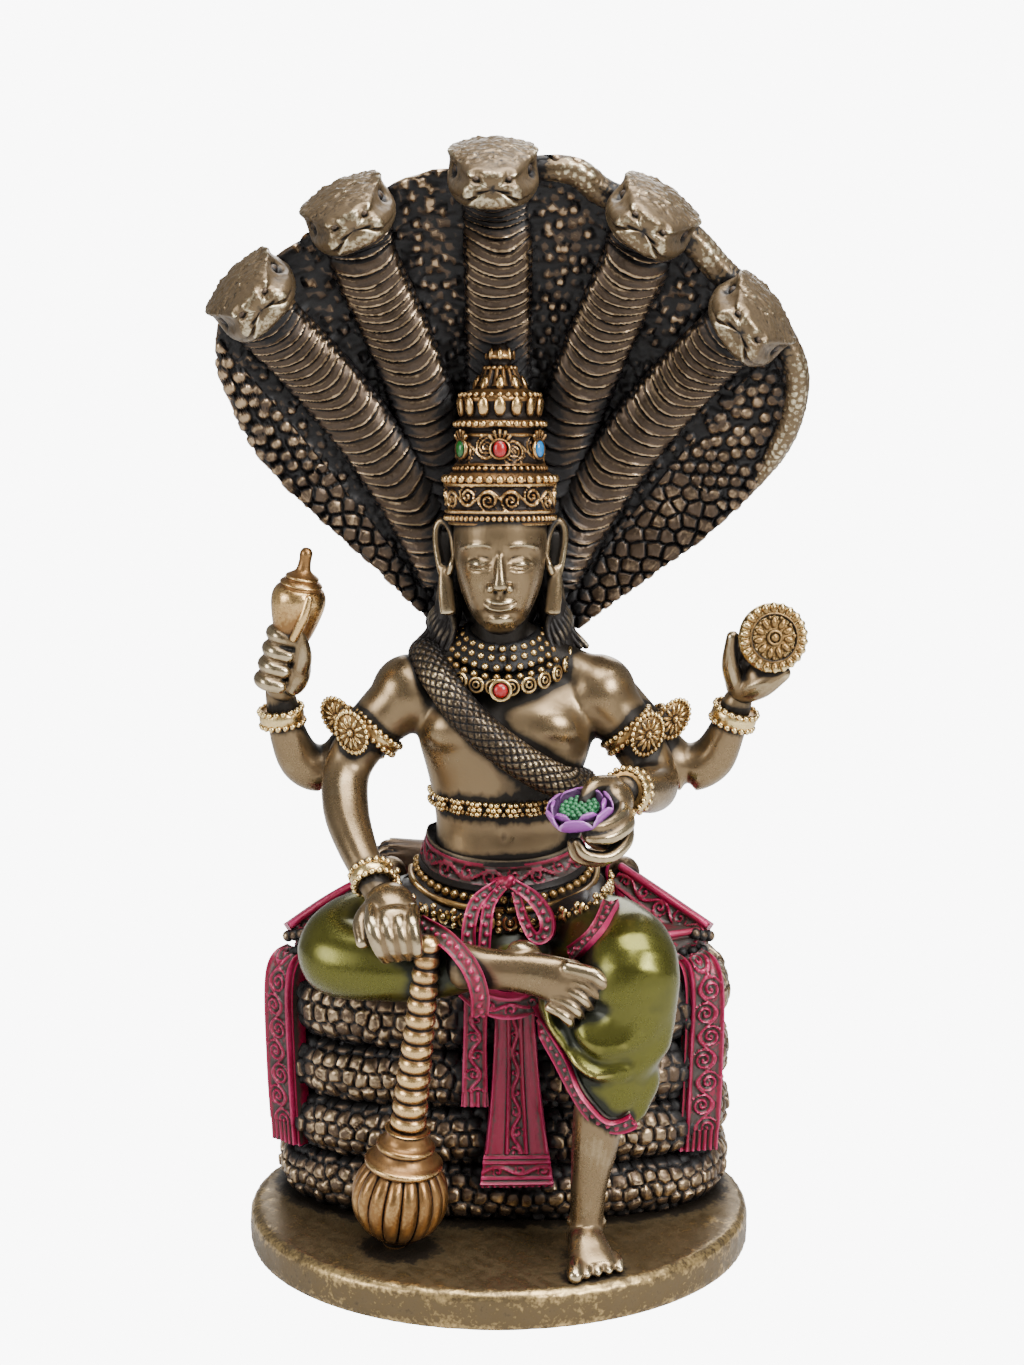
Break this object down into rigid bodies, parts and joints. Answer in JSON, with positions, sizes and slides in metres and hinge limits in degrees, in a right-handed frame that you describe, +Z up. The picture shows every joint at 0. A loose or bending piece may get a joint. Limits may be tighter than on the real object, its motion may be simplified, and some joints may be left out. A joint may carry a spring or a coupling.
{
  "type": "four-armed deity figurine on a coiled serpent",
  "caption": "Crowned four-armed figure seated on a coiled serpent whose cobra heads spread into a hood over it, on a round plinth.",
  "frame": {"origin": "middle of the plinth's underside", "axes": "+Z up, the figure faces -Y, +X towards the figure's left hand"},
  "size_m": [0.1193, 0.098, 0.227],
  "materials": {
    "bronze": "cold-cast bronze, satin, dark patina in the recesses and worn bright high spots",
    "plinth_bronze": "cold-cast bronze, dull greenish brown top and a worn golden rim",
    "gold": "gold-bronze paint over the casting, rubbed bright on the beads, dark between them",
    "crimson_paint": "translucent crimson paint with a dark wash in its relief",
    "green_lacquer": "glossy olive green lacquer over bronze",
    "enamel": "small dots of bright enamel on the crown's stones and the lotus"
  },
  "bodies": {
    "root": {"statue": "bronze", "plinth": "plinth_bronze"}
  },
  "joints": []
}
